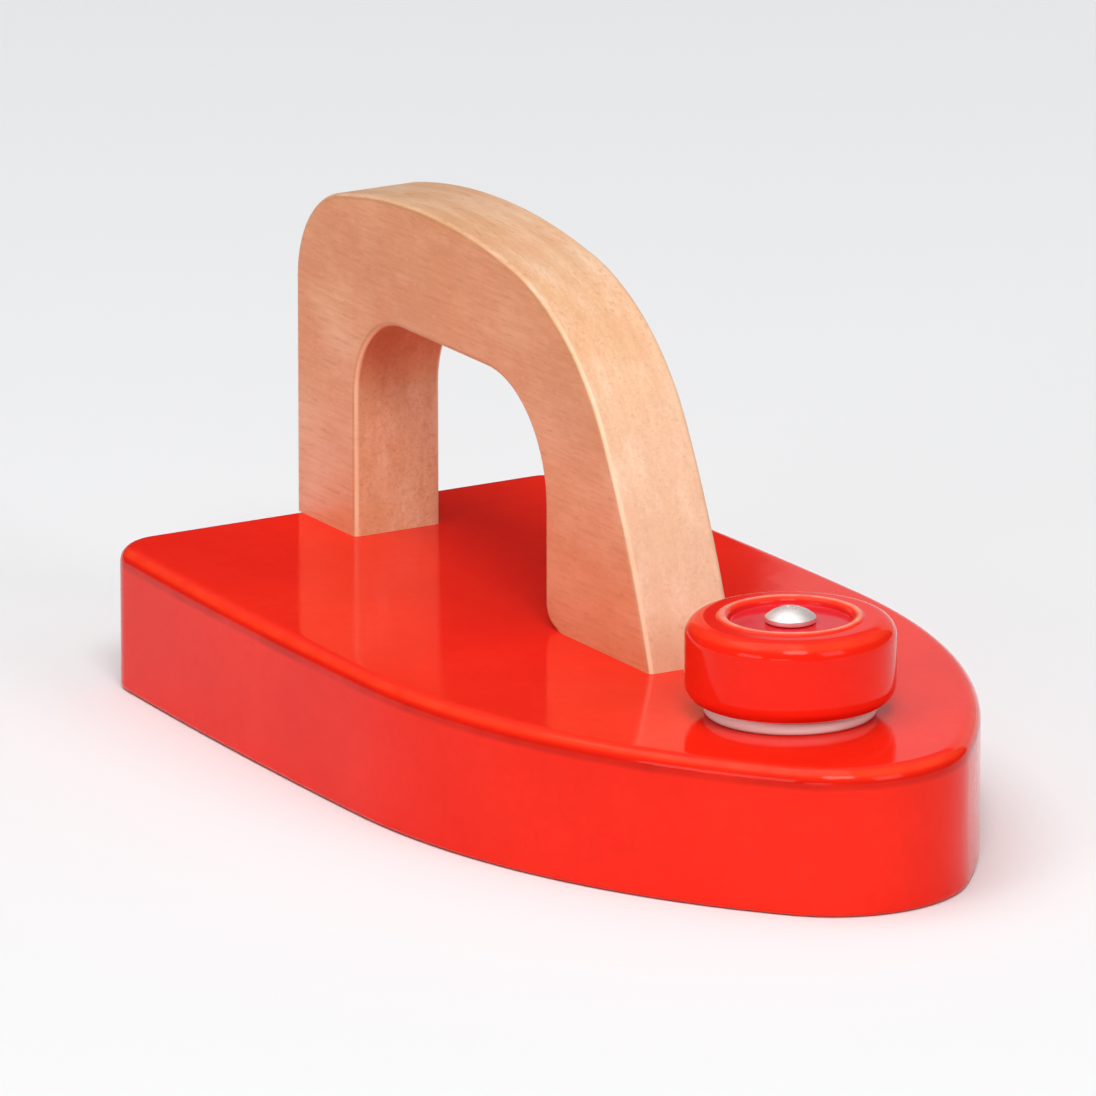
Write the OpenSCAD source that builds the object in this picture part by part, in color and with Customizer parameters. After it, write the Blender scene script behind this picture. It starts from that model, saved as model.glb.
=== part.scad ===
// Toy iron in wood: a painted base, an arch handle in plain beech, and a painted knob that turns.
// +X points from the heel to the nose and +Z is up. The origin is the middle of the sole.
// All sizes are in millimetres.

/* [Base] */
// Length from the heel to the tip of the nose
base_l = 175; // [160:1:200]
// Width at the widest place
base_w = 93.4; // [84:0.2:110]
// Thickness of the board
base_t = 23.5; // [20:0.5:30]
// Distance from the heel to the widest place
widest_from_heel = 87.5; // [75:0.5:100]
// How much each side has drawn in at the heel
heel_draw_in = 3.3; // [1:0.1:8]
// Radius of the tip of the nose, in plan
nose_r = 21.5; // [14:0.5:28]
// Radius of the two heel corners, in plan
heel_corner_r = 8.5; // [4:0.5:12]
// Radius of the rounded top edge
top_edge_r = 2.6; // [1:0.1:3.5]
// Radius of the eased sole edge
sole_edge_r = 0.8; // [0.4:0.1:2]

/* [Handle] */
// Clearance between the toe of the front leg and the knob
handle_to_knob = 12.5; // [8:0.5:20]
// Height above the base
handle_h = 59; // [54:0.5:66]
// Thickness of the slab that the handle is sawn from
handle_t = 16; // [12:0.5:22]
// Distance from the heel face to the rear face of the handle
handle_setback = 0.5; // [0:0.1:6]
// Radius of the eased edges along both sides of the handle
handle_edge_r = 1; // [0.8:0.1:2.4]
// Width of the rear leg
rear_leg_w = 19; // [15:0.5:23]
// Width of the front leg at its foot
front_leg_w = 32.5; // [26:0.5:38]
// Height of the finger gap
gap_h = 38.1; // [34:0.1:43]
// Radius of the gap's rear upper corner
gap_rear_r = 14.5; // [8:0.5:17]
// Radius of the gap's front upper corner
gap_front_r = 18.5; // [10:0.5:22]
// Radius of the outer rear corner
rear_shoulder_r = 17; // [12:0.5:22]
// Radius of the crown
crown_r = 128; // [100:1:160]
// Place along the handle where the crown is highest, as a share of the handle's length
crown_peak_share = 0.37; // [0.34:0.01:0.42]
// Slope at which the crown turns into the front shoulder, in degrees
front_shoulder_slope = 12; // [10:0.5:14]
// Radius of the front shoulder, as a share of the handle's length
front_shoulder_share = 0.39; // [0.33:0.01:0.44]
// Radius of the front leg's outer face
front_leg_r = 180; // [150:1:300]
// Radius of the two foot corners of the rear leg
rear_foot_r = 1.2; // [1:0.1:5]
// Radius of the front leg's inner foot corner
front_foot_r = 4; // [1:0.1:8]

/* [Knob] */
// Diameter of the knob
knob_d = 33; // [28:0.5:40]
// Height of the knob up to the top of its lip
knob_h = 13.8; // [11:0.2:18]
// Radius of the knob's rounded upper edge
knob_top_r = 3; // [1:0.1:4]
// Radius of the knob's rounded lower edge
knob_bottom_r = 3; // [0.5:0.1:3.2]
// Distance from the tip of the nose to the knob's axis
knob_from_nose = 34; // [30:0.5:38]
// Diameter of the sunk floor in the top of the knob
recess_d = 19; // [14:0.2:20]
// Depth of the sunk floor below the top of the lip
recess_depth = 1.4; // [1.3:0.1:4]
// Radius of the rounded lip round the sunk floor
lip_r = 1.2; // [0.5:0.1:1.3]
// How far the lip stands above the knob's shoulder
lip_rise = 0.4; // [0.1:0.1:0.5]
// Diameter of the pale washer under the knob
spacer_d = 27; // [20:0.2:32]
// Thickness of the pale washer
spacer_t = 2; // [1:0.1:4]

/* [Screws] */
// Diameter of the knob screw's shank
knob_screw_d = 4; // [3:0.1:5]
// Length of the knob screw under its head
knob_screw_l = 29; // [24:1:35]
// Diameter of the knob screw's pan head
knob_head_d = 8; // [7:0.1:10]
// Height of the knob screw's head
knob_head_h = 2.4; // [1.8:0.1:3]
// Height of the upright side of the knob screw's head
knob_head_side = 0.8; // [0.4:0.1:1.2]
// Diameter of the handle screws' shanks
handle_screw_d = 4; // [3:0.1:5]
// Length of the handle screws under their heads
handle_screw_l = 38; // [30:1:45]
// Diameter of the handle screws' heads
handle_head_d = 8; // [7:0.1:9]
// Height of the handle screws' heads
handle_head_h = 2.6; // [1.8:0.1:3.5]
// Height of the upright side of the handle screws' heads
handle_head_side = 0.9; // [0.4:0.1:1.2]
// Diameter of the sunk holes in the sole that take the heads
sink_d = 9.6; // [9.4:0.1:12]
// Depth of the sunk holes in the sole
sink_depth = 7; // [4:0.5:10]
// Length of a screw's point
point_l = 4; // [2:0.5:6]
// Width of the slots of a head's cross recess
cross_w = 0.9; // [0.5:0.1:1.2]
// Length of the slots of a head's cross recess
cross_l = 3.8; // [2.5:0.1:4.5]
// Depth of the cross recess below the top of the head
cross_depth = 0.9; // [0.4:0.1:1]

/* [Fits] */
// Gap all round between the turning knob and its screw
running_gap = 0.05; // [0.02:0.01:0.1]
// Gap above and below the knob that lets it turn freely
end_gap = 0.15; // [0.05:0.05:0.3]
// Gap all round between a screw and the wood or washer that it stands in
screw_gap = 0.05; // [0.02:0.01:0.1]
// Depth of a screw's hole beyond its point
hole_end_gap = 1; // [0.5:0.5:3]

/* [Hidden] */
// Overrun of every cut past the face that it starts or ends at
overrun = 1;
// Steps of a small round and of a large one
$fn = 72;
big_steps = 240;
// Steps of the arcs in the base's outline, and of its two rounded edges
corner_steps = 6;
rear_side_steps = 6;
front_side_steps = 12;
nose_steps = 8;
sole_edge_steps = 3;
top_edge_steps = 6;
// Steps of the arcs in the handle's outline, and of its eased edges
foot_steps = 4;
gap_corner_steps = 12;
shoulder_steps = 8;
front_leg_steps = 5;
handle_edge_steps = 3;
// Least radius left at a foot corner where the eased edge draws it in
least_foot_r = 0.1;
// The handle's outside has as many points as its gap
crown_steps = foot_steps + 2 * gap_corner_steps + 2 - front_leg_steps - 2 * shoulder_steps;
// Colours
paint_colour = "#e62a1e";
beech_colour = "#e2a36c";
nylon_colour = "#efe9dc";
steel_colour = "#b9bcc0";

// Base outline, near side: a heel corner, a long rear arc, a front arc and the nose, tangent to each other
heel_x = -base_l / 2;
widest_x = heel_x + widest_from_heel;
half_w = base_w / 2;
nose_c = [base_l / 2 - nose_r, 0];
rear_side_r = (widest_from_heel * widest_from_heel + heel_draw_in * heel_draw_in) / (2 * heel_draw_in);
rear_side_c = [widest_x, rear_side_r - half_w];
nose_run = nose_c.x - widest_x;
front_side_r = (nose_run * nose_run + half_w * half_w - nose_r * nose_r) / (2 * (half_w - nose_r));
front_side_c = [widest_x, front_side_r - half_w];
corner_x = heel_x + heel_corner_r;
corner_c = [corner_x, rear_side_c.y - other_leg(rear_side_r - heel_corner_r, widest_x - corner_x)];
corner_join_at = angle_of(corner_c - rear_side_c);
nose_join_at = angle_of(nose_c - front_side_c);

// Places along the base: the handle fills the length from the heel to its clearance from the knob
handle_x = heel_x + handle_setback;
knob_x = base_l / 2 - knob_from_nose;
handle_l = knob_x - knob_d / 2 - handle_to_knob - handle_x;

// Handle profile: x from its rear face, y up from its feet
gap_front_x = handle_l - front_leg_w;
gap_rear_c = [rear_leg_w + gap_rear_r, gap_h - gap_rear_r];
gap_front_c = [gap_front_x - gap_front_r, gap_h - gap_front_r];
crown_peak_x = crown_peak_share * handle_l;
crown_c = [crown_peak_x, handle_h - crown_r];
rear_reach = other_leg(crown_r - rear_shoulder_r, crown_peak_x - rear_shoulder_r);
rear_shoulder_c = [rear_shoulder_r, crown_c.y + rear_reach];
front_shoulder_r = front_shoulder_share * handle_l;
front_shoulder_at = 90 - front_shoulder_slope;
front_shoulder_c = crown_c + (crown_r - front_shoulder_r) * along(front_shoulder_at);
// The front leg's arc is tangent to the front shoulder and ends at the toe
to_toe = [handle_l, 0] - front_shoulder_c;
leg_reach = front_leg_r - front_shoulder_r;
leg_turn = corner_angle(leg_reach, norm(to_toe), front_leg_r);
front_leg_c = front_shoulder_c + leg_reach * along(angle_of(to_toe) - leg_turn);
rear_join_at = angle_of(rear_shoulder_c - crown_c);
leg_join_at = angle_of(front_shoulder_c - front_leg_c);

// Handle screws, one in the middle of each foot
rear_screw_x = handle_x + rear_leg_w / 2;
front_screw_x = handle_x + handle_l - front_leg_w / 2;
handle_tip_z = sink_depth + handle_screw_l;
// Heights in the knob's stack, from the base up
knob_z = base_t + spacer_t + end_gap;
knob_seat_z = knob_z + knob_h - recess_depth + end_gap;
knob_tip_z = knob_seat_z - knob_screw_l;

function along(angle) = [cos(angle), sin(angle)];
function angle_of(v) = atan2(v.y, v.x);
// Second short side of a right triangle with its longest side and one short side given
function other_leg(longest, leg) = sqrt(longest * longest - leg * leg);
// Angle between sides a and b of a triangle whose third side is c
function corner_angle(a, b, c) = acos((a * a + b * b - c * c) / (2 * a * b));
function mirrored(points) = [for (i = [len(points) - 1:-1:0]) [points[i].x, -points[i].y]];
// Points along an arc, from angle a to angle b
function arc_points(c, r, a, b, steps) = [for (i = [0:steps]) c + r * along(a + (b - a) * i / steps)];
// The same without the last point, which is the first of the arc that follows
function arc_start(c, r, a, b, steps) = [for (i = [0:steps - 1]) c + r * along(a + (b - a) * i / steps)];
// Heights through a slab of thickness t with two rounded edges, each with what the outline draws in there
function levels(t, low_r, low_steps, high_r, high_steps) = concat(
    [for (i = [0:low_steps]) let (turn = 90 * i / low_steps)
        [low_r * (1 - cos(turn)), low_r * (1 - sin(turn))]],
    [for (i = [0:high_steps]) let (turn = 90 * i / high_steps)
        [t - high_r * (1 - sin(turn)), high_r * (1 - cos(turn))]]
);

// Near side of the base's outline drawn in by inset, from the heel to just before the tip of the nose
function near_side(inset) = concat(
    arc_start(corner_c, heel_corner_r - inset, -180, corner_join_at, corner_steps),
    arc_start(rear_side_c, rear_side_r - inset, corner_join_at, -90, rear_side_steps),
    arc_start(front_side_c, front_side_r - inset, -90, nose_join_at, front_side_steps),
    arc_start(nose_c, nose_r - inset, nose_join_at, 0, nose_steps)
);
function base_outline(inset) =
    concat(near_side(inset), [nose_c + [nose_r - inset, 0]], mirrored(near_side(inset)));

// Foot corner of a leg whose upright face is at x, with its wood on the side of +x (1) or -x (-1)
function foot_corner(x, side, r, inset) =
    let (draw = max(r, inset + least_foot_r), from = side > 0 ? 180 : -90)
    arc_points([x + side * draw, draw], draw - inset, from, from + 90, foot_steps);
// Where the front leg's arc, drawn in by inset, meets the underside of its foot
function toe_at(inset) = asin((inset - front_leg_c.y) / (front_leg_r - inset));
// The handle's outline drawn in by inset, from the rear foot round the gap, and back over the crown
function handle_outline(inset) = concat(
    foot_corner(rear_leg_w, -1, rear_foot_r, inset),
    arc_points(gap_rear_c, gap_rear_r + inset, 180, 90, gap_corner_steps),
    arc_points(gap_front_c, gap_front_r + inset, 90, 0, gap_corner_steps),
    foot_corner(gap_front_x, 1, front_foot_r, inset),
    arc_start(front_leg_c, front_leg_r - inset, toe_at(inset), leg_join_at, front_leg_steps),
    arc_start(front_shoulder_c, front_shoulder_r - inset, leg_join_at, front_shoulder_at, shoulder_steps),
    arc_start(crown_c, crown_r - inset, front_shoulder_at, rear_join_at, crown_steps),
    arc_points(rear_shoulder_c, rear_shoulder_r - inset, rear_join_at, 180, shoulder_steps),
    foot_corner(0, 1, rear_foot_r, inset)
);

// What a rounded outer corner of radius r loses: the corner lies towards +x and +y
module corner_loss(r) {
    difference() {
        square(r + overrun);
        circle(r);
    }
}

// Solid through a stack of outlines that have the same number of points, one at each height. The faces that
// close it below are given by the numbers of their points, and those above are the same.
module stacked(outlines, heights, end_faces) {
    n = len(outlines[0]);
    last = len(outlines) - 1;
    polyhedron(
        points = [for (k = [0:last]) for (p = outlines[k]) [p.x, p.y, heights[k]]],
        faces = concat(
            end_faces,
            [for (face = end_faces) [for (i = [len(face) - 1:-1:0]) last * n + face[i]]],
            [for (k = [0:last - 1]) for (i = [0:n - 1]) let (j = (i + 1) % n)
                each [[k * n + i, (k + 1) * n + i, (k + 1) * n + j], [k * n + i, (k + 1) * n + j, k * n + j]]]
        )
    );
}

module base_board() {
    board_levels = levels(base_t, sole_edge_r, sole_edge_steps, top_edge_r, top_edge_steps);
    outlines = [for (level = board_levels) base_outline(level[1])];
    stacked(outlines, [for (level = board_levels) level[0]], [[for (i = [0:len(outlines[0]) - 1]) i]]);
}

// The arch lying on its side, closed by a strip of faces from its gap to its outside
module handle_arch() {
    arch_levels = levels(handle_t, handle_edge_r, handle_edge_steps, handle_edge_r, handle_edge_steps);
    outlines = [for (level = arch_levels) handle_outline(level[1])];
    n = len(outlines[0]);
    strip = [for (i = [0:n / 2 - 2]) [i, i + 1, n - 2 - i, n - 1 - i]];
    stacked(outlines, [for (level = arch_levels) level[0]], strip);
}

// Screw hole from the sole up into a leg of the handle, with its sunk mouth
module handle_screw_hole(x) {
    translate([x, 0, -overrun]) cylinder(d = sink_d, h = sink_depth + overrun);
    translate([x, 0, 0]) cylinder(d = handle_screw_d + 2 * screw_gap, h = handle_tip_z + hole_end_gap);
}

module base() {
    color(paint_colour)
    difference() {
        base_board();
        handle_screw_hole(rear_screw_x);
        handle_screw_hole(front_screw_x);
        translate([knob_x, 0, knob_tip_z - hole_end_gap])
            cylinder(d = knob_screw_d + 2 * screw_gap, h = base_t - knob_tip_z + hole_end_gap + overrun);
    }
}

module handle() {
    color(beech_colour)
    difference() {
        translate([handle_x, handle_t / 2, base_t])
            rotate([90, 0, 0])
            handle_arch();
        handle_screw_hole(rear_screw_x);
        handle_screw_hole(front_screw_x);
    }
}

module knob_section() {
    knob_r = knob_d / 2;
    recess_r = recess_d / 2;
    lip_c = [recess_r + lip_r, knob_h - lip_r];
    shoulder_z = knob_h - lip_rise;
    difference() {
        union() {
            difference() {
                square([knob_r, shoulder_z]);
                translate([knob_r - knob_top_r, shoulder_z - knob_top_r]) corner_loss(knob_top_r);
            }
            translate(lip_c) circle(lip_r);
        }
        translate([knob_r - knob_bottom_r, knob_bottom_r]) mirror([0, 1]) corner_loss(knob_bottom_r);
        translate([0, knob_h - recess_depth]) square([recess_r, recess_depth + overrun]);
        translate(lip_c) mirror([1, 0]) corner_loss(lip_r);
        translate([0, -overrun]) square([knob_screw_d / 2 + running_gap, knob_h + 2 * overrun]);
    }
}

module knob() {
    color(paint_colour)
        translate([knob_x, 0, knob_z]) rotate_extrude($fn = big_steps) knob_section();
}

module spacer_washer() {
    color(nylon_colour)
    translate([knob_x, 0, base_t])
    difference() {
        cylinder(d = spacer_d, h = spacer_t, $fn = big_steps);
        translate([0, 0, -overrun]) cylinder(d = knob_screw_d + 2 * screw_gap, h = spacer_t + 2 * overrun);
    }
}

// Wood screw standing on its pan head's flat underside at z = 0, with its point down
module wood_screw(shank_d, shank_l, head_d, head_h, head_side) {
    head_r = head_d / 2;
    dome_h = head_h - head_side;
    dome_r = (head_r * head_r + dome_h * dome_h) / (2 * dome_h);
    translate([0, 0, point_l - shank_l]) cylinder(d = shank_d, h = shank_l - point_l);
    translate([0, 0, -shank_l]) cylinder(d1 = 0, d2 = shank_d, h = point_l);
    difference() {
        rotate_extrude() intersection() {
            square([head_r, head_h]);
            translate([0, head_h - dome_r]) circle(dome_r, $fn = big_steps);
        }
        for (turn = [0, 90])
            rotate(turn)
            translate([-cross_l / 2, -cross_w / 2, head_h - cross_depth])
            cube([cross_l, cross_w, cross_depth + overrun]);
    }
}

module knob_screw() {
    color(steel_colour)
        translate([knob_x, 0, knob_seat_z])
        wood_screw(knob_screw_d, knob_screw_l, knob_head_d, knob_head_h, knob_head_side);
}

module handle_screws() {
    color(steel_colour)
    for (x = [rear_screw_x, front_screw_x])
        translate([x, 0, sink_depth])
        mirror([0, 0, 1])
        wood_screw(handle_screw_d, handle_screw_l, handle_head_d, handle_head_h, handle_head_side);
}

base();
handle();
knob();
spacer_washer();
knob_screw();
handle_screws();
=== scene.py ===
import math
import bpy
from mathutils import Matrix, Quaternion, Vector


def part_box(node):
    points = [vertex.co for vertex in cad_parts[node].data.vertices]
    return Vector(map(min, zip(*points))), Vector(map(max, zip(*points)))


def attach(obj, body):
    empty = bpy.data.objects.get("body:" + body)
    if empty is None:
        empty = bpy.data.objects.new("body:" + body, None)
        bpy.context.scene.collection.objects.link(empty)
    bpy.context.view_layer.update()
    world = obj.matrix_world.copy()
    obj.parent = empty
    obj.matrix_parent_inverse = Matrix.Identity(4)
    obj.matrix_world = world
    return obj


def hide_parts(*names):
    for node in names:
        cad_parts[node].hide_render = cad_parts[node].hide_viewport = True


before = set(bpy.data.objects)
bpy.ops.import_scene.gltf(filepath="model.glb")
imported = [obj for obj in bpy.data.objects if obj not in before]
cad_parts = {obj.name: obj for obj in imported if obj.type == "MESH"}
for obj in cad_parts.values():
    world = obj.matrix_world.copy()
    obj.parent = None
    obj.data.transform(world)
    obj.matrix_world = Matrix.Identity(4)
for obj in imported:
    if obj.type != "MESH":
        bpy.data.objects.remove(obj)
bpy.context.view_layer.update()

MM = 0.001
UP = (0, 0, 1)
# A profile in the XZ plane is drawn counter-clockwise about this axis
ACROSS = (0, -1, 0)

# The camera stands where the photograph was taken from, and looks at the iron through a long lens.
# Its angles are in degrees, its distance in metres and its lens in millimetres.
CAMERA_AZIMUTH = 59.18
CAMERA_ELEVATION = 16.52
CAMERA_DISTANCE = 2.527
LOOK_AT = Vector((-0.0053, -0.0089, 0.0370))
LENS = 524.3

# Places and sizes of the pieces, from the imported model
base_low, base_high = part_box("base")
handle_low, handle_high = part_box("handle")
knob_low, knob_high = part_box("knob")
spacer_low, spacer_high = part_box("spacer_washer")
knob_screw_low, knob_screw_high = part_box("knob_screw")
screws_low, screws_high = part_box("handle_screws")
HEEL_X = base_low.x
NOSE_X = base_high.x
HALF_WIDTH = base_high.y
BASE_TOP = base_high.z
HANDLE_SIDE = handle_high.y
HANDLE_L = handle_high.x - handle_low.x
KNOB_X = (knob_low.x + knob_high.x) / 2
KNOB_R = (knob_high.x - knob_low.x) / 2
WASHER_R = (spacer_high.x - spacer_low.x) / 2
HEAD_R = (knob_screw_high.x - knob_screw_low.x) / 2
REAR_SCREW_X = screws_low.x + HEAD_R
FRONT_SCREW_X = screws_high.x - HEAD_R

# Sizes of the base that its box doesn't give
NOSE_R = 21.5 * MM
HEEL_CORNER_R = 8.5 * MM
HEEL_DRAW_IN = 3.3 * MM
TOP_EDGE_R = 2.6 * MM
SOLE_EDGE_R = 0.8 * MM

# Sizes of the handle. A leg's width runs from the wall of the gap to the outer end of its foot.
# The shoulder starts at an angle seen from the crown's centre, and the two angles are in degrees.
HANDLE_H = 59 * MM
HANDLE_EDGE_R = 1 * MM
REAR_LEG_W = 19 * MM
FRONT_LEG_W = 32.5 * MM
FRONT_FOOT_R = 4 * MM
FRONT_FOOT_TURN = 65
GAP_H = 38.1 * MM
GAP_REAR_R = 14.5 * MM
GAP_FRONT_R = 18.5 * MM
REAR_SHOULDER_R = 17 * MM
CROWN_R = 128 * MM
CROWN_PEAK_X = 0.37 * HANDLE_L
FRONT_SHOULDER_R = 0.39 * HANDLE_L
FRONT_SHOULDER_AT = 78
FRONT_LEG_R = 180 * MM
GAP_TOP = handle_low.z + GAP_H
GAP_REAR_X = handle_low.x + REAR_LEG_W
GAP_FRONT_X = handle_high.x - FRONT_LEG_W

# Sizes of the knob and of the washer under it
KNOB_EDGE_R = 3 * MM
RECESS_R = 9.5 * MM
RECESS_DEPTH = 1.4 * MM
LIP_R = 1.2 * MM
LIP_RISE = 0.4 * MM
LIP_CREST_R = RECESS_R + LIP_R
WASHER_LOW_EDGE_R = 0.85 * MM
WASHER_TOP_EDGE_R = 1.1 * MM

# Sizes of the screws and their holes. A hole runs past its screw's end by HOLE_END, and the paint
# runs into a sunk hole as far as PAINTED_MOUTH.
SHANK_R = 2 * MM
POINT_LENGTH = 4 * MM
KNOB_SCREW_L = 29 * MM
KNOB_HEAD_H = 2.4 * MM
KNOB_HEAD_SIDE = 0.8 * MM
HANDLE_SCREW_L = 38 * MM
HANDLE_HEAD_H = 2.6 * MM
HANDLE_HEAD_SIDE = 0.9 * MM
HEAD_RIM_R = 0.25 * MM
CROSS_L = 3.8 * MM
CROSS_W = 0.9 * MM
CROSS_DEPTH = 0.9 * MM
CROSS_TAPER = 0.55
HOLE_R = 2.05 * MM
HOLE_END = 1 * MM
SUNK_HOLE_R = 4.8 * MM
SUNK_DEPTH = 7 * MM
SUNK_MOUTH_EDGE = 0.35 * MM
PAINTED_MOUTH = 0.4 * MM

# Points closer than this are one point
TINY = 0.02 * MM
# How far a cut runs past the face that it starts or ends at
PAST = 1 * MM
# A face is flat across a direction when its normal has at least this share of it
FLAT = 0.999
# A corner sharper than this, in degrees, stays crisp when the rest is shaded smooth
CRISP_CORNER = 32

# The floor lies just under the sole, and the camera sees past its far edge. In metres.
FLOOR_SIZE = 30
FLOOR_DROP = 0.1 * MM
FAR_CLIP = 100


# Small tools for modelling

def put_down():
    """Leaves edit mode and lets go of everything."""
    if bpy.context.mode != "OBJECT":
        bpy.ops.object.mode_set(mode="OBJECT")
    bpy.ops.object.select_all(action="DESELECT")


def take(piece):
    """Selects one piece alone and makes it the active one."""
    put_down()
    piece.select_set(True)
    bpy.context.view_layer.objects.active = piece


def pick(piece, kind, test):
    """Goes into edit mode with only the vertices, edges or faces that pass the test selected."""
    take(piece)
    bpy.ops.object.mode_set(mode="EDIT")
    bpy.ops.mesh.select_mode(type=kind)
    bpy.ops.mesh.select_all(action="DESELECT")
    bpy.ops.object.mode_set(mode="OBJECT")
    mesh = piece.data
    points = [v.co for v in mesh.vertices]
    if kind == "VERT":
        for vertex in mesh.vertices:
            vertex.select = test(vertex.co)
    elif kind == "EDGE":
        for edge in mesh.edges:
            edge.select = test(points[edge.vertices[0]], points[edge.vertices[1]])
    else:
        for face in mesh.polygons:
            face.select = test(face.center, face.normal)
    bpy.ops.object.mode_set(mode="EDIT")


def settle(piece):
    """Puts the piece's place into its mesh, so that its object sits at the origin."""
    take(piece)
    bpy.ops.object.transform_apply(location=True, rotation=True, scale=True)


def close_up(piece):
    """Merges doubled points and turns every face outwards."""
    pick(piece, "VERT", lambda p: True)
    bpy.ops.mesh.remove_doubles(threshold=TINY)
    bpy.ops.mesh.normals_make_consistent(inside=False)
    put_down()


def round_edges(radius, segments):
    """Rounds the edges that are picked."""
    bpy.ops.mesh.bevel(offset=radius, segments=segments, affect="EDGES", clamp_overlap=False)


def rim_flat_faces(rim):
    """Gives the picked flat faces a narrow rim of faces, which keeps them evenly lit up to their edges."""
    bpy.ops.mesh.inset(thickness=rim, depth=0)
    bpy.ops.mesh.quads_convert_to_tris(quad_method="BEAUTY", ngon_method="BEAUTY")


def finish_surface(piece):
    """Smooth shading that keeps flat faces flat and corners crisp."""
    take(piece)
    bpy.ops.object.shade_smooth_by_angle(angle=math.radians(CRISP_CORNER))
    modifier = piece.modifiers.new("flat faces stay flat", "WEIGHTED_NORMAL")
    modifier.keep_sharp = True
    modifier.weight = 100
    bpy.ops.object.modifier_apply(modifier=modifier.name)
    put_down()


def cut(piece, tool):
    """Cuts the tool's shape out of the piece and throws the tool away."""
    take(piece)
    modifier = piece.modifiers.new("cut", "BOOLEAN")
    modifier.operation = "DIFFERENCE"
    modifier.solver = "EXACT"
    modifier.object = tool
    bpy.ops.object.modifier_apply(modifier=modifier.name)
    bpy.data.objects.remove(tool)


def start_point(name, place):
    """A mesh of one point, which an outline is then drawn from."""
    put_down()
    bpy.ops.mesh.primitive_plane_add(size=MM, location=place)
    piece = bpy.context.active_object
    piece.name = piece.data.name = name
    settle(piece)
    bpy.ops.object.mode_set(mode="EDIT")
    bpy.ops.mesh.select_mode(type="VERT")
    bpy.ops.mesh.select_all(action="SELECT")
    bpy.ops.mesh.merge(type="CENTER")
    return piece


def draw_to(here, there):
    """Draws a straight line from the last point."""
    bpy.ops.mesh.extrude_vertices_move(TRANSFORM_OT_translate={"value": Vector(there) - Vector(here)})
    return Vector(there)


def swing(here, centre, degrees, axis, steps):
    """Draws an arc about the centre from the last point, right-handed about the axis."""
    bpy.ops.mesh.spin(steps=steps, angle=-math.radians(degrees), center=centre, axis=axis)
    turned = Vector(here) - Vector(centre)
    turned.rotate(Quaternion(axis, math.radians(degrees)))
    return Vector(centre) + turned


def raise_outline(piece, move):
    """Closes the drawn outline and draws it out into a solid."""
    bpy.ops.mesh.select_all(action="SELECT")
    bpy.ops.mesh.remove_doubles(threshold=TINY)
    bpy.ops.mesh.edge_face_add()
    bpy.ops.mesh.extrude_region_move(TRANSFORM_OT_translate={"value": move})
    close_up(piece)


def turn_on_lathe(piece, x, steps):
    """Turns the drawn profile once round the upright line through x."""
    bpy.ops.mesh.select_all(action="SELECT")
    bpy.ops.mesh.spin(steps=steps, angle=2 * math.pi, center=(x, 0, 0), axis=UP)
    close_up(piece)


def drill(piece, x, *stages):
    """Drills an upright hole in stages, each given by its radius, its low end and its high end."""
    here = Vector((x, 0, stages[0][1]))
    bit = start_point("drill_bit", here)
    for radius, low, high in stages:
        here = draw_to(here, (x + radius, 0, low))
        here = draw_to(here, (x + radius, 0, high))
    draw_to(here, (x, 0, high))
    turn_on_lathe(bit, x, steps=90)
    cut(piece, bit)


def in_hole(p, radius, *places):
    """Whether a point lies in an upright hole of this radius at one of the places along the iron."""
    return any(math.hypot(p.x - x, p.y) < radius + TINY for x in places)


# Base: one thick board, its outline drawn as arcs that run into each other

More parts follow.
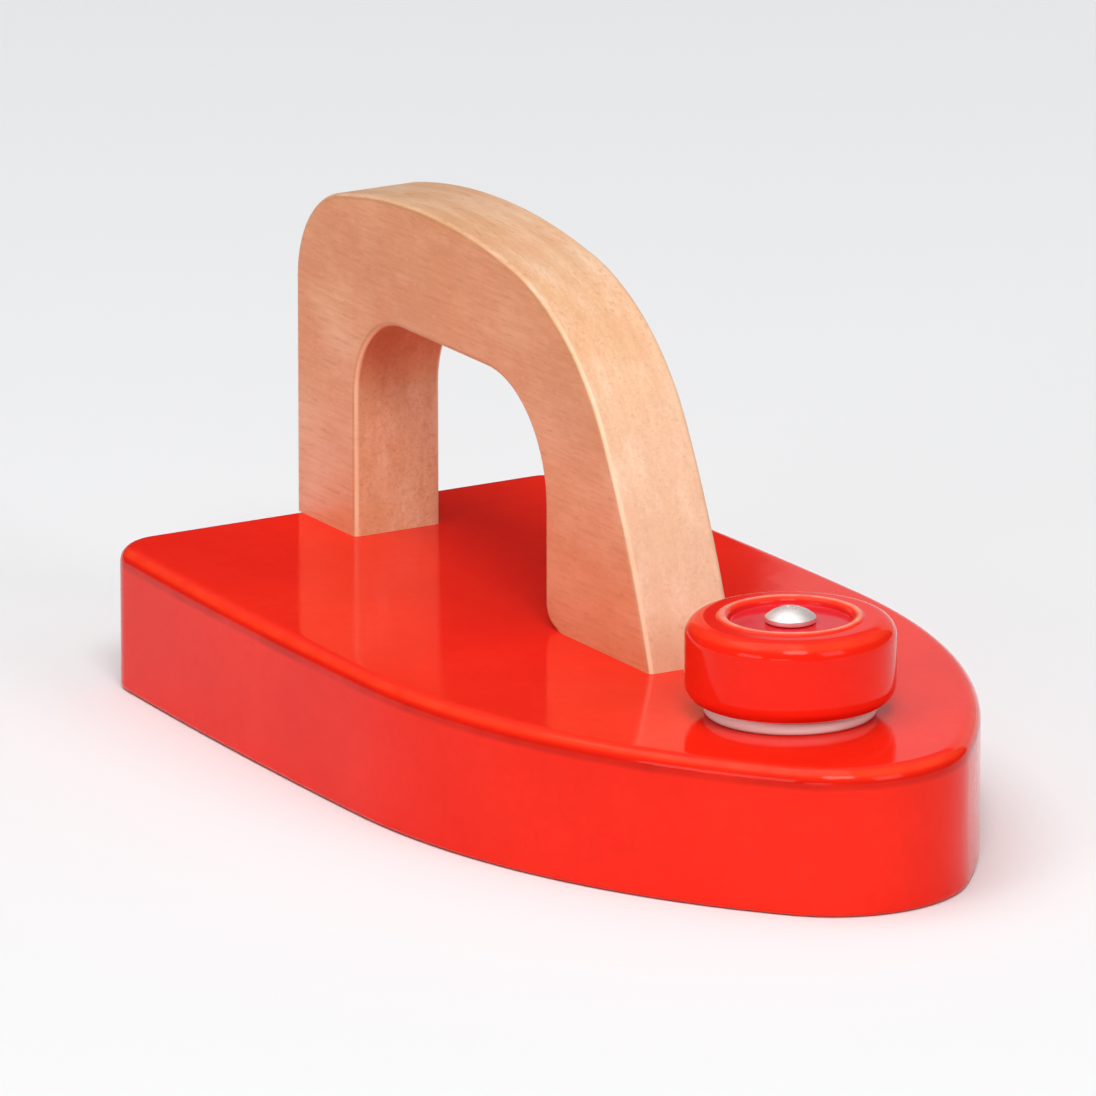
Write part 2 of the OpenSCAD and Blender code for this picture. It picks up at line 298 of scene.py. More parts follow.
def make_base():
    rear_r = (HEEL_X**2 + HEEL_DRAW_IN**2) / (2 * HEEL_DRAW_IN)
    rear_centre = Vector((0, rear_r - HALF_WIDTH, 0))
    nose_centre = Vector((NOSE_X - NOSE_R, 0, 0))
    front_r = (nose_centre.x**2 + HALF_WIDTH**2 - NOSE_R**2) / (2 * (HALF_WIDTH - NOSE_R))
    front_centre = Vector((0, front_r - HALF_WIDTH, 0))
    corner_x = HEEL_X + HEEL_CORNER_R
    corner_y = rear_centre.y - math.sqrt((rear_r - HEEL_CORNER_R) ** 2 - corner_x**2)
    corner_centre = Vector((corner_x, corner_y, 0))
    rear_angle = math.degrees(math.atan2(corner_y - rear_centre.y, corner_x)) + 90
    nose_angle = math.degrees(math.atan2(-front_centre.y, nose_centre.x)) + 90
    corner_steps, rear_steps, front_steps, nose_steps = 16, 24, 48, 48

    start = Vector((HEEL_X, corner_y, 0))
    board = start_point("painted_base", start)
    at = swing(start, corner_centre, 90 + rear_angle, UP, corner_steps)
    at = swing(at, rear_centre, -rear_angle, UP, rear_steps)
    at = swing(at, front_centre, nose_angle, UP, front_steps)
    at = swing(at, nose_centre, 180 - 2 * nose_angle, UP, nose_steps)
    at = swing(at, Vector((0, -front_centre.y, 0)), nose_angle, UP, front_steps)
    at = swing(at, Vector((0, -rear_centre.y, 0)), -rear_angle, UP, rear_steps)
    at = swing(at, Vector((corner_x, -corner_y, 0)), 90 + rear_angle, UP, corner_steps)
    draw_to(at, start)
    raise_outline(board, (0, 0, BASE_TOP))
    pick(board, "EDGE", lambda a, b: min(a.z, b.z) > BASE_TOP - TINY)
    round_edges(TOP_EDGE_R, segments=10)
    pick(board, "EDGE", lambda a, b: max(a.z, b.z) < TINY)
    round_edges(SOLE_EDGE_R, segments=5)
    pick(board, "FACE", lambda c, n: abs(n.z) > FLAT)
    rim_flat_faces(1.2 * MM)

    drill(board, KNOB_X, (HOLE_R, knob_screw_low.z - HOLE_END, BASE_TOP + PAST))
    for x in (REAR_SCREW_X, FRONT_SCREW_X):
        drill(board, x, (SUNK_HOLE_R, -PAST, SUNK_DEPTH), (HOLE_R, SUNK_DEPTH, BASE_TOP + PAST))
    for x in (REAR_SCREW_X, FRONT_SCREW_X):
        pick(board, "EDGE", lambda a, b: max(a.z, b.z) < TINY and all(
            abs(math.hypot(p.x - x, p.y) - SUNK_HOLE_R) < TINY for p in (a, b)
        ))
        round_edges(SUNK_MOUTH_EDGE, segments=3)
    put_down()
    return board


# Handle: an arch sawn from one slab, its two sides eased all round

def make_handle():
    # The feet are drawn too long, and sawn off once the edges are eased
    below = -2 * MM

    def at_profile(x, z):
        return Vector((handle_low.x + x, HANDLE_SIDE, handle_low.z + z))

    # Inside, from the rear foot round the gap to the front foot
    gap_front = HANDLE_L - FRONT_LEG_W
    gap_rear_corner = at_profile(REAR_LEG_W + GAP_REAR_R, GAP_H - GAP_REAR_R)
    gap_front_corner = at_profile(gap_front - GAP_FRONT_R, GAP_H - GAP_FRONT_R)
    here = at_profile(REAR_LEG_W, below)
    arch = start_point("beech_handle", here)
    here = draw_to(here, at_profile(REAR_LEG_W, GAP_H - GAP_REAR_R))
    here = swing(here, gap_rear_corner, -90, ACROSS, steps=24)
    here = draw_to(here, at_profile(gap_front - GAP_FRONT_R, GAP_H))
    here = swing(here, gap_front_corner, -90, ACROSS, steps=28)
    here = draw_to(here, at_profile(gap_front, FRONT_FOOT_R))
    here = swing(here, at_profile(gap_front + FRONT_FOOT_R, FRONT_FOOT_R), FRONT_FOOT_TURN, ACROSS, steps=8)
    run_out = (here.z - handle_low.z - below) * math.tan(math.radians(FRONT_FOOT_TURN))
    here = draw_to(here, (here.x + run_out, HANDLE_SIDE, handle_low.z + below))

    # Outside, from the toe up the front leg, over the shoulder and the crown to the rear corner
    crown_centre = Vector((CROWN_PEAK_X, HANDLE_H - CROWN_R))
    slope = math.radians(FRONT_SHOULDER_AT)
    between = (CROWN_R - FRONT_SHOULDER_R) * Vector((math.cos(slope), math.sin(slope)))
    shoulder_centre = crown_centre + between
    to_toe = Vector((HANDLE_L, 0)) - shoulder_centre
    reach = FRONT_LEG_R - FRONT_SHOULDER_R
    turn = math.acos((reach**2 + to_toe.length**2 - FRONT_LEG_R**2) / (2 * reach * to_toe.length))
    leg_at = math.atan2(to_toe.y, to_toe.x) - turn
    leg_centre = shoulder_centre + reach * Vector((math.cos(leg_at), math.sin(leg_at)))
    rear_rise = math.sqrt((CROWN_R - REAR_SHOULDER_R) ** 2 - (CROWN_PEAK_X - REAR_SHOULDER_R) ** 2)
    rear_centre = Vector((REAR_SHOULDER_R, crown_centre.y + rear_rise))
    leg_join = math.degrees(math.atan2(*(shoulder_centre - leg_centre).yx))
    rear_join = math.degrees(math.atan2(*(rear_centre - crown_centre).yx))
    toe_at = math.asin((below - leg_centre.y) / FRONT_LEG_R)
    toe = leg_centre + FRONT_LEG_R * Vector((math.cos(toe_at), math.sin(toe_at)))
    here = draw_to(here, at_profile(*toe))
    here = swing(here, at_profile(*leg_centre), leg_join - math.degrees(toe_at), ACROSS, steps=24)
    here = swing(here, at_profile(*shoulder_centre), FRONT_SHOULDER_AT - leg_join, ACROSS, steps=36)
    here = swing(here, at_profile(*crown_centre), rear_join - FRONT_SHOULDER_AT, ACROSS, steps=40)
    here = swing(here, at_profile(*rear_centre), 180 - rear_join, ACROSS, steps=28)
    here = draw_to(here, at_profile(0, below))
    draw_to(here, at_profile(REAR_LEG_W, below))
    raise_outline(arch, (0, -2 * HANDLE_SIDE, 0))
    pick(arch, "EDGE", lambda a, b: abs(a.y) > HANDLE_SIDE - TINY and abs(a.y - b.y) < TINY)
    round_edges(HANDLE_EDGE_R, segments=6)
    pick(arch, "VERT", lambda p: True)
    bpy.ops.mesh.bisect(plane_co=(0, 0, handle_low.z), plane_no=UP, use_fill=True, clear_inner=True)
    pick(arch, "FACE", lambda c, n: abs(n.y) > FLAT)
    rim_flat_faces(0.7 * MM)
    for x in (REAR_SCREW_X, FRONT_SCREW_X):
        drill(arch, x, (HOLE_R, BASE_TOP - PAST, screws_high.z + HOLE_END))
    put_down()
    return arch


# Knob: turned wood with a raised, rounded lip round a sunk floor

def make_knob():
    bottom, top = knob_low.z, knob_high.z
    shoulder, floor_z = top - LIP_RISE, top - RECESS_DEPTH
    lip_x = KNOB_X + LIP_CREST_R
    lip_meets = math.asin((LIP_R - LIP_RISE) / LIP_R)
    fillet, flat_ring = 0.35 * MM, 3 * MM

    def at_knob(r, z):
        return Vector((KNOB_X + r, 0, z))

    here = at_knob(HOLE_R, bottom)
    knob = start_point("painted_knob", here)
    here = draw_to(here, at_knob(KNOB_R - KNOB_EDGE_R, bottom))
    here = swing(here, at_knob(KNOB_R - KNOB_EDGE_R, bottom + KNOB_EDGE_R), 90, ACROSS, steps=14)
    here = draw_to(here, at_knob(KNOB_R, shoulder - KNOB_EDGE_R))
    here = swing(here, at_knob(KNOB_R - KNOB_EDGE_R, shoulder - KNOB_EDGE_R), 90, ACROSS, steps=14)
    here = draw_to(here, Vector((lip_x + LIP_R * math.cos(lip_meets), 0, shoulder)))
    here = swing(here, (lip_x, 0, top - LIP_R), 180 - math.degrees(lip_meets), ACROSS, steps=16)
    here = draw_to(here, at_knob(RECESS_R, floor_z + fillet))
    here = swing(here, at_knob(RECESS_R - fillet, floor_z + fillet), -90, ACROSS, steps=4)
    here = draw_to(here, at_knob(RECESS_R - flat_ring, floor_z))
    here = draw_to(here, at_knob(HOLE_R, floor_z))
    draw_to(here, at_knob(HOLE_R, bottom))
    turn_on_lathe(knob, KNOB_X, steps=160)
    return knob


# Washer between the knob and the base, with both rims rounded

def make_washer():
    bottom, top = spacer_low.z, spacer_high.z
    low_r, top_r = WASHER_LOW_EDGE_R, WASHER_TOP_EDGE_R

    def at_washer(r, z):
        return Vector((KNOB_X + r, 0, z))

    here = at_washer(HOLE_R, bottom)
    washer = start_point("nylon_washer", here)
    here = draw_to(here, at_washer(WASHER_R - low_r, bottom))
    here = swing(here, at_washer(WASHER_R - low_r, bottom + low_r), 90, ACROSS, steps=6)
    here = draw_to(here, at_washer(WASHER_R, top - top_r))
    here = swing(here, at_washer(WASHER_R - top_r, top - top_r), 90, ACROSS, steps=6)
    here = draw_to(here, at_washer(HOLE_R, top))
    draw_to(here, at_washer(HOLE_R, bottom))
    turn_on_lathe(washer, KNOB_X, steps=128)
    return washer


# Wood screws: a pan head with a cross recess, a round shank without its thread, and a point

def cross_cutter(long_way, short_way, top):
    """A tapered wedge that punches one slot of the cross recess."""
    put_down()
    bpy.ops.mesh.primitive_cube_add(size=1, location=(0, 0, top + (PAST - CROSS_DEPTH) / 2))
    wedge = bpy.context.active_object
    wedge.scale = (long_way, short_way, CROSS_DEPTH + PAST)
    settle(wedge)
    pick(wedge, "FACE", lambda c, n: n.z < -FLAT)
    bpy.ops.transform.resize(
        value=(CROSS_TAPER, CROSS_TAPER, 1), center_override=(0, 0, top - CROSS_DEPTH)
    )
    put_down()
    return wedge


def make_screw(name, shank_l, head_h, head_side):
    """A screw standing on the underside of its head at the origin, with its point down."""
    dome_h = head_h - head_side
    dome_r = (HEAD_R**2 + dome_h**2) / (2 * dome_h)
    dome_angle = math.degrees(math.asin(HEAD_R / dome_r))
    here = Vector((0, 0, -shank_l))
    screw = start_point(name, here)
    here = draw_to(here, (SHANK_R, 0, POINT_LENGTH - shank_l))
    here = draw_to(here, (SHANK_R, 0, 0))
    here = draw_to(here, (HEAD_R - HEAD_RIM_R, 0, 0))
    here = swing(here, (HEAD_R - HEAD_RIM_R, 0, HEAD_RIM_R), 90, ACROSS, steps=4)
    here = draw_to(here, (HEAD_R, 0, head_side))
    swing(here, (0, 0, head_h - dome_r), dome_angle, ACROSS, steps=14)
    turn_on_lathe(screw, 0, steps=64)
    cut(screw, cross_cutter(CROSS_L, CROSS_W, head_h))
    cut(screw, cross_cutter(CROSS_W, CROSS_L, head_h))
    close_up(screw)
    return screw


def stand(piece, place, upside_down=False):
    """Puts a finished piece at its place, and turns it over where it goes in from below."""
    put_down()
    piece.rotation_euler = (math.pi if upside_down else 0, 0, 0)
    piece.location = place
    settle(piece)


base = make_base()
handle = make_handle()
knob = make_knob()
washer = make_washer()
knob_screw = make_screw("knob_screw_zinc", KNOB_SCREW_L, KNOB_HEAD_H, KNOB_HEAD_SIDE)
stand(knob_screw, (KNOB_X, 0, knob_screw_low.z + KNOB_SCREW_L))
rear_screw = make_screw("handle_screw_rear", HANDLE_SCREW_L, HANDLE_HEAD_H, HANDLE_HEAD_SIDE)
stand(rear_screw, (REAR_SCREW_X, 0, screws_high.z - HANDLE_SCREW_L), upside_down=True)
for piece in (base, handle, knob, washer, knob_screw, rear_screw):
    finish_surface(piece)
take(rear_screw)
bpy.ops.object.duplicate()
front_screw = bpy.context.active_object
front_screw.name = front_screw.data.name = "handle_screw_front"
front_screw.location = (FRONT_SCREW_X - REAR_SCREW_X, 0, 0)
settle(front_screw)

for piece in (base, handle, washer, knob_screw, rear_screw, front_screw):
    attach(piece, "iron")
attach(knob, "dial")
for piece, node, finish in (
    (base, "base", "base_paint"),
    (handle, "handle", "handle_wood"),
    (knob, "knob", "knob_paint"),
    (washer, "spacer_washer", "spacer_nylon"),
    (knob_screw, "knob_screw", "knob_screw_steel"),
    (rear_screw, "handle_screws", "handle_screw_steel"),
    (front_screw, "handle_screws", "handle_screw_steel"),
):
    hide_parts(node)


# Small tools for materials

def add(tree, kind, values=None, **settings):
    """Adds a node. Each value is a plain one, or the output of another node."""
    node = tree.nodes.new("ShaderNode" + kind)
    for name, value in settings.items():
        setattr(node, name, value)
    for socket, value in (values or {}).items():
        if isinstance(value, bpy.types.NodeSocket):
            tree.links.new(value, node.inputs[socket])
        else:
            node.inputs[socket].default_value = value
    return node


def new_material(name):
    """An empty finish with its shader, and the place on the piece in metres."""
    made = bpy.data.materials.new(name)
    made.use_nodes = True
    tree = made.node_tree
    place = add(tree, "TexCoord").outputs["Object"]
    return made, tree, tree.nodes["Principled BSDF"], place


def link(tree, output, shader, socket):
    tree.links.new(output, shader.inputs[socket])


def stretch(tree, place, x, y, z):
    """The place with each direction multiplied, so that a pattern comes out long or fine."""
    return add(tree, "Mapping", {"Vector": place, "Scale": (x, y, z)}).outputs["Vector"]


def noise(tree, place, scale, detail=3.0, roughness=0.5, distortion=0.0):
    return add(tree, "TexNoise", {
        "Vector": place, "Scale": scale, "Detail": detail, "Roughness": roughness, "Distortion": distortion,
    }).outputs[0]


def span(tree, value, low, high, to_low=0.0, to_high=1.0, smooth=False):
    """Takes the part of a pattern between low and high and spreads it over a new span."""
    kind = "SMOOTHSTEP" if smooth else "LINEAR"
    return add(tree, "MapRange", {
        "Value": value, "From Min": low, "From Max": high, "To Min": to_low, "To Max": to_high,
    }, interpolation_type=kind, clamp=True).outputs["Result"]


def maths(tree, operation, first, second=0.5):
    """One sum on patterns. Where it takes only one value, the second is of no account."""
    return add(tree, "Math", {0: first, 1: second}, operation=operation).outputs[0]


def times(tree, first, *others):
    """The product of patterns, which is bright only where all of them are."""
    for other in others:
        first = maths(tree, "MULTIPLY", first, other)
    return first


def band(tree, value, start, full, fade, end, smooth=True):
    """Picks out the values between soft limits: rising from start to full, falling from fade to end."""
    rising = span(tree, value, start, full, smooth=smooth)
    return times(tree, rising, span(tree, value, end, fade, smooth=smooth))


def blend_colour(tree, share, first, second, way="MIX"):
    """The first colour with a share of the second over it."""
    mix = add(tree, "Mix", data_type="RGBA", blend_type=way)
    for socket, value in ((0, share), (6, first), (7, second)):
        if isinstance(value, bpy.types.NodeSocket):
            tree.links.new(value, mix.inputs[socket])
        else:
            mix.inputs[socket].default_value = value if socket == 0 else (*value, 1)
    return mix.outputs[2]


def bump(tree, height, depth, under=None):
    """Raises the surface by up to depth where the pattern is bright."""
    values = {"Height": height, "Distance": depth, "Strength": 1.0}
    if under is not None:
        values["Normal"] = under
    return add(tree, "Bump", values).outputs["Normal"]


def facing(tree, axis):
    """How far the surface leans along one axis, from 0 to 1 either way."""
    normal = add(tree, "NewGeometry").outputs["Normal"]
    along = add(tree, "SeparateXYZ", {"Vector": normal}).outputs[axis]
    return maths(tree, "ABSOLUTE", along)


def turning_marks(tree, place, x, scale, distortion):
    """Fine rings round the upright line through x, such as a lathe leaves."""
    centred = add(tree, "Mapping", {"Vector": place, "Location": (-x, 0, 0)}).outputs["Vector"]
    values = {"Vector": centred, "Scale": scale, "Distortion": distortion, "Detail": 2.0}
    return add(tree, "TexWave", values, wave_type="RINGS", rings_direction="Z").outputs[0]


# Red gloss paint on the base and the knob

def lip_highlight_and_floor_shade(tree, place, height, colour):
    """The knob's top: painted shade on the sunk floor, darker and cooler red, and a painted highlight, pale
    pink, along the lip's crest.
    """
    sunk_floor_red, lip_highlight_pink = (0.68, 0.022, 0.038), (0.96, 0.34, 0.22)
    centred = add(tree, "Mapping", {"Vector": place, "Location": (-KNOB_X, 0, 0), "Scale": (1, 1, 0)})
    reach = add(tree, "VectorMath", {0: centred.outputs["Vector"]}, operation="LENGTH").outputs["Value"]
    off_crest = maths(tree, "ABSOLUTE", maths(tree, "SUBTRACT", reach, LIP_CREST_R))
    # Painted highlight: pale pink along the lip's crest, broken up by noise
    lip_highlight = times(
        tree,
        span(tree, off_crest, 0.75 * MM, 0.1 * MM, smooth=True),
        span(tree, height, knob_high.z - 0.9 * MM, knob_high.z - 0.3 * MM, smooth=True),
        span(tree, noise(tree, place, scale=380, detail=4), 0.25, 0.6, 0.45, 0.9),
    )
    # Painted shade: the sunk floor darker and cooler red
    sunk_floor_shade = span(tree, reach, RECESS_R + 0.4 * MM, RECESS_R - 0.3 * MM, 0, 0.8, smooth=True)
    colour = blend_colour(tree, sunk_floor_shade, colour, sunk_floor_red)
    return blend_colour(tree, lip_highlight, colour, lip_highlight_pink)


def gloss_paint(name, shade_band, lip=False):
    """Red gloss paint over wood: deep, a little wavy, thinner and more orange along the edges with a painted
    highlight there, and a band of painted shade.
    """
    red, bright_red, dull_red = (0.86, 0.016, 0.0055), (0.93, 0.023, 0.0075), (0.80, 0.014, 0.005)
    thin_paint_and_highlight_orange, painted_shade_red = (0.95, 0.075, 0.02), (0.58, 0.010, 0.004)
    made, tree, shader, place = new_material(name)
    height = add(tree, "SeparateXYZ", {"Vector": place}).outputs["Z"]
    pools = noise(tree, place, scale=34, detail=3)
    colour = blend_colour(tree, span(tree, pools, 0.35, 0.65), red, bright_red)
    mottle = noise(tree, place, scale=420, detail=4, roughness=0.6)
    colour = blend_colour(tree, span(tree, mottle, 0.3, 0.7, 0, 0.35), colour, dull_red)
    # Lighter, more orange paint on the upper slope of each rounded edge, unevenly: paint thinner there, and a
    # painted highlight line
    on_edge = band(tree, facing(tree, "Z"), 0.45, 0.65, 0.8, 0.98)
    uneven = span(tree, noise(tree, place, scale=160, detail=4), 0.25, 0.7, 0.25, 1.0)
    colour = blend_colour(tree, times(tree, on_edge, uneven, 0.55), colour, thin_paint_and_highlight_orange)
    # Painted shade: an uneven darker band at the given heights, just under the base's top edge and round the
    # knob's foot
    low, high = shade_band
    soft = 0.5 * MM
    in_shade_band = band(tree, height, low - soft, low + soft, high - soft, high + soft)
    uneven = span(tree, noise(tree, place, scale=120, detail=4), 0.25, 0.65, 0.35, 0.9)
    colour = blend_colour(tree, times(tree, in_shade_band, uneven), colour, painted_shade_red)
    # The knob's top gets painted shade on its sunk floor and a painted highlight on its lip
    if lip:
        colour = lip_highlight_and_floor_shade(tree, place, height, colour)
    link(tree, colour, shader, "Base Color")
    smears = noise(tree, stretch(tree, place, 1, 3, 2), scale=45, detail=4, roughness=0.6)
    link(tree, span(tree, smears, 0.3, 0.7, 0.07, 0.13), shader, "Roughness")
    waves = noise(tree, place, scale=170, detail=2)
    grain = noise(tree, stretch(tree, place, 0.12, 1, 1), scale=900, detail=3)
    normal = bump(tree, grain, 0.006 * MM, bump(tree, waves, 0.02 * MM))
    link(tree, normal, shader, "Normal")
    shader.inputs["Specular IOR Level"].default_value = 0.13
    return made


# Beech of the handle and inside the holes

def beech_figure(tree, place):
    """The wood's own colour, and the fibres and dark dashes that also roughen it."""
    pale, mid, tan = (0.88, 0.555, 0.35), (0.80, 0.465, 0.27), (0.80, 0.40, 0.19)
    rings = noise(tree, stretch(tree, place, 3, 60, 7), scale=6.5, detail=3, distortion=0.6)
    bend = noise(tree, stretch(tree, place, 8, 22, 22), scale=1.0, detail=2)
    colour = blend_colour(tree, span(tree, rings, 0.36, 0.62), pale, mid)
    colour = blend_colour(tree, span(tree, bend, 0.35, 0.7, 0, 0.4), colour, tan)
    # Broad drifts of a duller and of a pinker tone, and paler streaks
    drift = noise(tree, stretch(tree, place, 1, 1, 1.3), scale=38, detail=3, roughness=0.6)
    colour = blend_colour(tree, span(tree, drift, 0.36, 0.62, 0, 0.9), colour, (0.96, 0.87, 0.74), "MULTIPLY")
    blush = noise(tree, stretch(tree, place, 1, 1.2, 0.8), scale=57, detail=3, roughness=0.6)
    colour = blend_colour(tree, span(tree, blush, 0.48, 0.68, 0, 0.7), colour, (1.0, 0.87, 0.86), "MULTIPLY")
    streaks = noise(tree, stretch(tree, place, 0.3, 1, 0.55), scale=190, detail=3, roughness=0.6)
    colour = blend_colour(tree, span(tree, streaks, 0.48, 0.7, 0, 0.6), colour, (0.95, 0.67, 0.47))
    # Fine brown fibres run the length of the slab, and show as specks on the end grain
    fibres = noise(tree, stretch(tree, place, 0.06, 1, 1), scale=1500, detail=4, roughness=0.65)
    colour = blend_colour(tree, span(tree, fibres, 0.42, 0.72, 0, 0.5), colour, (0.66, 0.32, 0.15))
    # Open end grain on the sawn fronts of the legs, in coarser specks
    specks = noise(tree, stretch(tree, place, 0.15, 1, 1), scale=620, detail=3, roughness=0.6)
    end_grain = span(tree, facing(tree, "X"), 0.6, 0.95, smooth=True)
    coarse = times(tree, end_grain, span(tree, specks, 0.5, 0.66, 0, 0.42))
    colour = blend_colour(tree, coarse, colour, (0.64, 0.30, 0.13))
    # Rays: short dark dashes along the grain
    rays = noise(tree, stretch(tree, place, 0.22, 0.9, 1.5), scale=1250, detail=2, distortion=0.2)
    dashes = span(tree, rays, 0.58, 0.74, 0, 0.42)
    colour = blend_colour(tree, dashes, colour, (0.55, 0.24, 0.10))
    # Pores: tiny pale pricks all over
    pores = noise(tree, stretch(tree, place, 0.35, 1, 1), scale=3200, detail=2)
    colour = blend_colour(tree, span(tree, pores, 0.55, 0.75, 0, 0.35), colour, (0.93, 0.63, 0.40))
    return colour, fibres, dashes


def beech_painted_light(tree, place, colour):
    """The wood's colour with light and shade painted into it on the sides, in the gap and along the edges."""
    lean = facing(tree, "Y")
    spot = add(tree, "SeparateXYZ", {"Vector": place}).outputs
    # Painted shade and red bounce light: the flat sides darker and redder than the sawn outside, most of all
    # up under the crown
    high_up = span(tree, spot["Z"], handle_low.z + 12 * MM, handle_high.z - 6 * MM, smooth=True)
    side_shade_tint = blend_colour(tree, high_up, (0.99, 0.74, 0.66), (0.895, 0.60, 0.42))
    colour = blend_colour(tree, span(tree, lean, 0.75, 0.99, smooth=True), colour, side_shade_tint, "MULTIPLY")
    # Painted light: the sawn outside towards the front, where the lamps fall most, paler
    to_front = span(tree, spot["X"], -10 * MM, 18 * MM, smooth=True)
    front_outside_light = times(tree, to_front, span(tree, lean, 0.7, 0.3), 0.32)
    colour = blend_colour(tree, front_outside_light, colour, (0.95, 0.67, 0.49))
    # Painted shade: inside the gap the wood darker and more brown towards the top
    gap_shade = times(
        tree,
        band(tree, spot["X"], GAP_REAR_X - 6 * MM, GAP_REAR_X - 1 * MM,
             GAP_FRONT_X + 1 * MM, GAP_FRONT_X + 5 * MM, smooth=False),
        span(tree, spot["Z"], GAP_TOP + 3 * MM, GAP_TOP + 1 * MM),
        span(tree, lean, 0.5, 0.2),
        span(tree, spot["Z"], GAP_TOP - 20 * MM, GAP_TOP - 2 * MM),
        0.9,
    )
    colour = blend_colour(tree, gap_shade, colour, (0.62, 0.39, 0.25), "MULTIPLY")
    # Painted shade: a thin brown line where the flat side turns into its eased edge
    uneven = span(tree, noise(tree, place, scale=150, detail=3), 0.3, 0.7, 0.25, 0.75)
    line = times(tree, band(tree, lean, 0.7, 0.86, 0.95, 0.995), uneven)
    colour = blend_colour(tree, line, colour, (0.50, 0.24, 0.11))
    # Painted highlight: the colour lifted along the upright eased edges
    upright = span(tree, facing(tree, "X"), 0.35, 0.7, smooth=True)
    uneven = span(tree, noise(tree, place, scale=130, detail=3), 0.3, 0.7, 0.35, 0.9)
    edge_highlight = times(tree, band(tree, lean, 0.12, 0.4, 0.7, 0.9), upright, uneven)
    return blend_colour(tree, edge_highlight, colour, (0.93, 0.62, 0.40))


def beech_wood(name, coated):
    """Plain beech with its grain along the handle: fine fibres, short dark rays and faint year rings."""
    made, tree, shader, place = new_material(name)
    smoothest, roughest = (0.36, 0.52) if coated else (0.6, 0.8)
    fibre_depth, dash_depth = 0.03 * MM if coated else 0.08 * MM, 0.03 * MM
    colour, fibres, dashes = beech_figure(tree, place)
    link(tree, beech_painted_light(tree, place, colour), shader, "Base Color")
    link(tree, span(tree, fibres, 0.3, 0.7, smoothest, roughest), shader, "Roughness")
    sunk_dashes = maths(tree, "MULTIPLY", dashes, -1.0)
    normal = bump(tree, sunk_dashes, dash_depth, bump(tree, fibres, fibre_depth))
    link(tree, normal, shader, "Normal")
    if coated:
        shader.inputs["Coat Weight"].default_value = 0.25
        shader.inputs["Coat Roughness"].default_value = 0.35
    return made


# Nylon and zinc

def washer_nylon():
    """Off-white nylon with the faint rings that turning leaves."""
    made, tree, shader, place = new_material("natural_nylon")
    cloudy = noise(tree, place, scale=240, detail=3)
    colour = blend_colour(tree, span(tree, cloudy, 0.3, 0.7), (0.93, 0.89, 0.84), (0.97, 0.95, 0.91))
    link(tree, colour, shader, "Base Color")
    link(tree, span(tree, cloudy, 0.3, 0.7, 0.34, 0.46), shader, "Roughness")
    normal = bump(tree, turning_marks(tree, place, KNOB_X, scale=900, distortion=0.6), 0.01 * MM)
    link(tree, bump(tree, noise(tree, place, scale=1800, detail=2), 0.008 * MM, normal), shader, "Normal")
    shader.inputs["Subsurface Weight"].default_value = 0.15
    shader.inputs["Subsurface Radius"].default_value = (0.6, 0.5, 0.4)
    shader.inputs["Subsurface Scale"].default_value = 0.8 * MM
    return made


def zinc_plate(name, x):
    """Bright zinc plate on steel, with turning marks round the head and a slightly dull, cloudy skin."""
    made, tree, shader, place = new_material(name)
    cloudy = noise(tree, place, scale=700, detail=4, roughness=0.6)
    colour = blend_colour(tree, span(tree, cloudy, 0.3, 0.7), (0.98, 0.90, 0.87), (0.93, 0.85, 0.82))
    link(tree, colour, shader, "Base Color")
    link(tree, span(tree, cloudy, 0.3, 0.7, 0.46, 0.62), shader, "Roughness")
    normal = bump(tree, turning_marks(tree, place, x, scale=2200, distortion=1.0), 0.005 * MM)
    link(tree, bump(tree, noise(tree, place, scale=2600, detail=3), 0.006 * MM, normal), shader, "Normal")
    shader.inputs["Metallic"].default_value = 1.0
    return made


def give(piece, *finishes):
    piece.data.materials.clear()
    for finish in finishes:
        piece.data.materials.append(finish)


def bare_inside(piece, test):
    """Gives the second finish, bare wood, to the faces inside drilled holes."""
    pick(piece, "FACE", test)
    piece.active_material_index = 1
    bpy.ops.object.material_slot_assign()
    put_down()


bare = beech_wood("bare_beech", coated=False)
# Heights of the band of painted shade: under the base's top edge, and round the knob's foot
base_edge_shade = (BASE_TOP - 3.1 * MM, BASE_TOP - 1.6 * MM)
knob_edge_shade = (knob_low.z - 1 * MM, knob_low.z + 1.5 * MM)
give(base, gloss_paint("gloss_red_base", base_edge_shade), bare)
give(handle, beech_wood("coated_beech", coated=True), bare)
give(knob, gloss_paint("gloss_red_knob", knob_edge_shade, lip=True), bare)
give(washer, washer_nylon())
give(knob_screw, zinc_plate("zinc_knob_screw", KNOB_X))
give(rear_screw, zinc_plate("zinc_rear_screw", REAR_SCREW_X))
give(front_screw, zinc_plate("zinc_front_screw", FRONT_SCREW_X))
bare_inside(base, lambda c, n: PAINTED_MOUTH < c.z < BASE_TOP - TINY and (
    in_hole(c, SUNK_HOLE_R, REAR_SCREW_X, FRONT_SCREW_X) or in_hole(c, HOLE_R, KNOB_X)
))
bare_inside(handle, lambda c, n: BASE_TOP + TINY < c.z < screws_high.z + 2 * HOLE_END and (
    in_hole(c, HOLE_R, REAR_SCREW_X, FRONT_SCREW_X)
))
bare_inside(knob, lambda c, n: in_hole(c, HOLE_R, KNOB_X))


# Floor, camera, lamps and sky

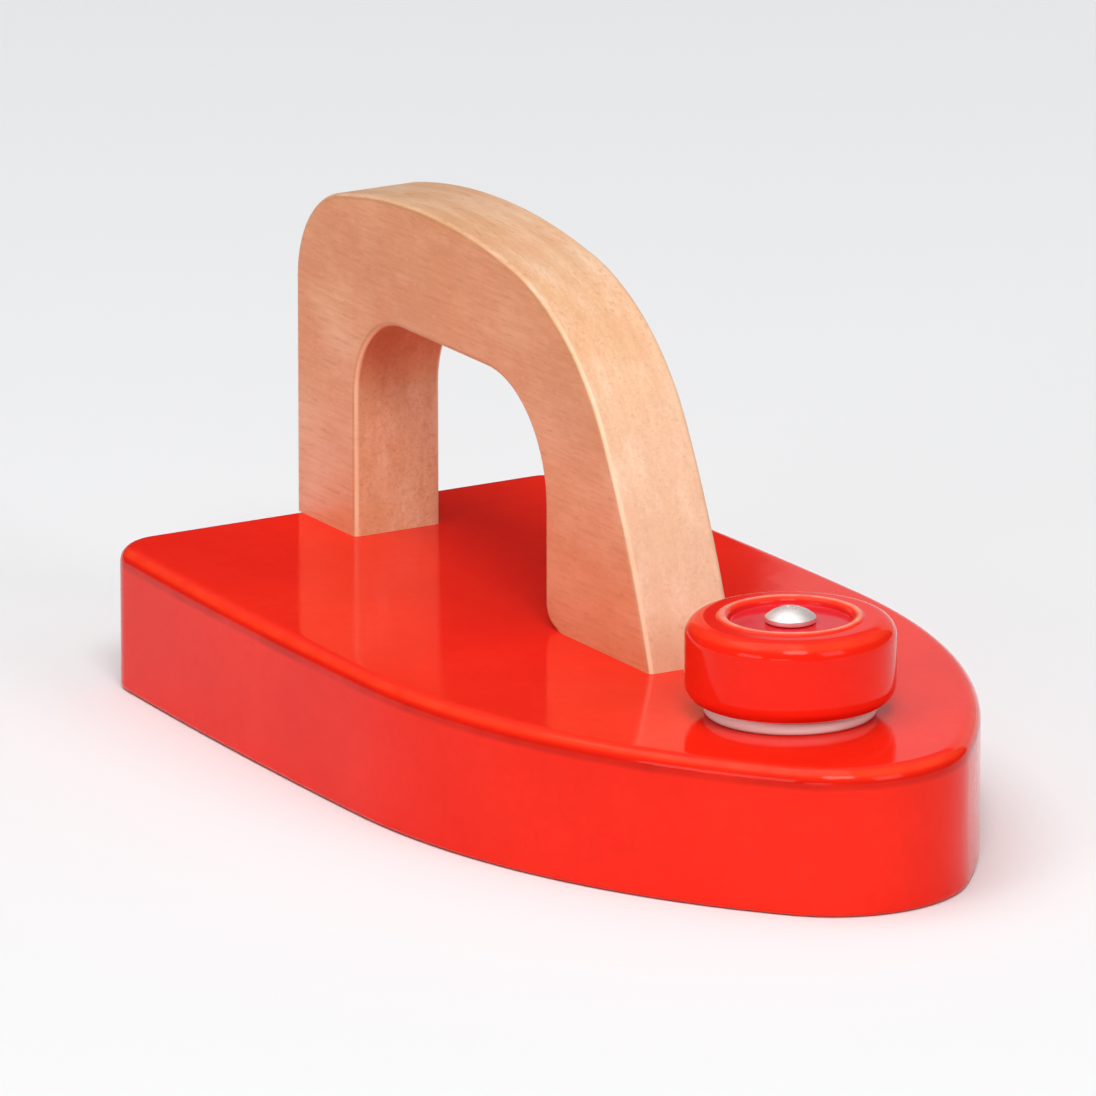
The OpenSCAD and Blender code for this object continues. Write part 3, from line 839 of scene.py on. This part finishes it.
def pale_floor():
    """A pale, dull floor, which the camera and the gloss see whiter than the light that it throws back."""
    made, tree, shader, place = new_material("pale_floor")
    cloudy = noise(tree, place, scale=3, detail=2)
    colour = blend_colour(tree, span(tree, cloudy, 0.3, 0.7), (0.79, 0.775, 0.765), (0.80, 0.785, 0.775))
    rays = add(tree, "LightPath").outputs
    seen = maths(tree, "MAXIMUM", rays["Is Camera Ray"], rays["Is Glossy Ray"])
    colour = blend_colour(tree, seen, colour, (0.86, 0.86, 0.86))
    link(tree, colour, shader, "Base Color")
    shader.inputs["Roughness"].default_value = 0.9
    shader.inputs["Specular IOR Level"].default_value = 0.1
    return made


def direction(azimuth, elevation):
    """Away from the iron: azimuth 0 is towards -Y and 90 towards +X."""
    a, e = math.radians(azimuth), math.radians(elevation)
    return Vector((math.sin(a) * math.cos(e), -math.cos(a) * math.cos(e), math.sin(e)))


def softbox(name, azimuth, elevation, distance, width, height, power):
    """A soft lamp that faces the iron, placed round it as the camera is, in metres and watts."""
    put_down()
    away = direction(azimuth, elevation)
    bpy.ops.object.light_add(type="AREA", location=distance * away)
    lamp = bpy.context.active_object
    lamp.name = name
    lamp.rotation_mode = "QUATERNION"
    lamp.rotation_quaternion = away.to_track_quat("Z", "Y")
    lamp.data.shape = "RECTANGLE"
    lamp.data.size = width
    lamp.data.size_y = height
    lamp.data.energy = power
    lamp.visible_camera = False
    return lamp


def light_sky():
    """A sky that is nearly dark at the horizon and pale overhead."""
    world = bpy.data.worlds.new("studio")
    bpy.context.scene.world = world
    world.use_nodes = True
    tree = world.node_tree
    background = tree.nodes["Background"]
    heading = add(tree, "TexCoord").outputs["Generated"]
    up_share = add(tree, "SeparateXYZ", {"Vector": heading}).outputs["Z"]
    background.inputs["Color"].default_value = (0.95, 0.96, 1.0, 1)
    link(tree, span(tree, up_share, 0.3, 0.85, 0.04, 0.5, smooth=True), background, "Strength")


put_down()
bpy.ops.mesh.primitive_plane_add(size=FLOOR_SIZE, location=(0, 0, -FLOOR_DROP))
floor = bpy.context.active_object
floor.name = "floor"
give(floor, pale_floor())

put_down()
bpy.ops.object.camera_add(location=CAMERA_DISTANCE * direction(CAMERA_AZIMUTH, CAMERA_ELEVATION))
camera = bpy.context.active_object
camera.rotation_mode = "QUATERNION"
camera.rotation_quaternion = (LOOK_AT - camera.location).to_track_quat("-Z", "Y")
camera.data.lens = LENS
camera.data.clip_end = FAR_CLIP
bpy.context.scene.camera = camera

softbox("key_softbox", azimuth=66, elevation=50, distance=2.6, width=0.9, height=0.9, power=28)
softbox("top_softbox", azimuth=340, elevation=76, distance=3.0, width=2.4, height=2.4, power=34)
softbox("front_softbox", azimuth=15, elevation=15, distance=3.4, width=1.6, height=1.0, power=22)
softbox("low_softbox", azimuth=48, elevation=7, distance=3.4, width=1.2, height=0.5, power=8)
softbox("right_softbox", azimuth=108, elevation=28, distance=3.0, width=1.2, height=1.2, power=16)
# A pale card behind the nose, which only shows in the gloss of the paint
card = softbox("pale_card", azimuth=217, elevation=16, distance=0.55, width=0.36, height=0.30, power=0.18)
card.visible_diffuse = False
light_sky()

bpy.context.scene.view_settings.view_transform = "Standard"
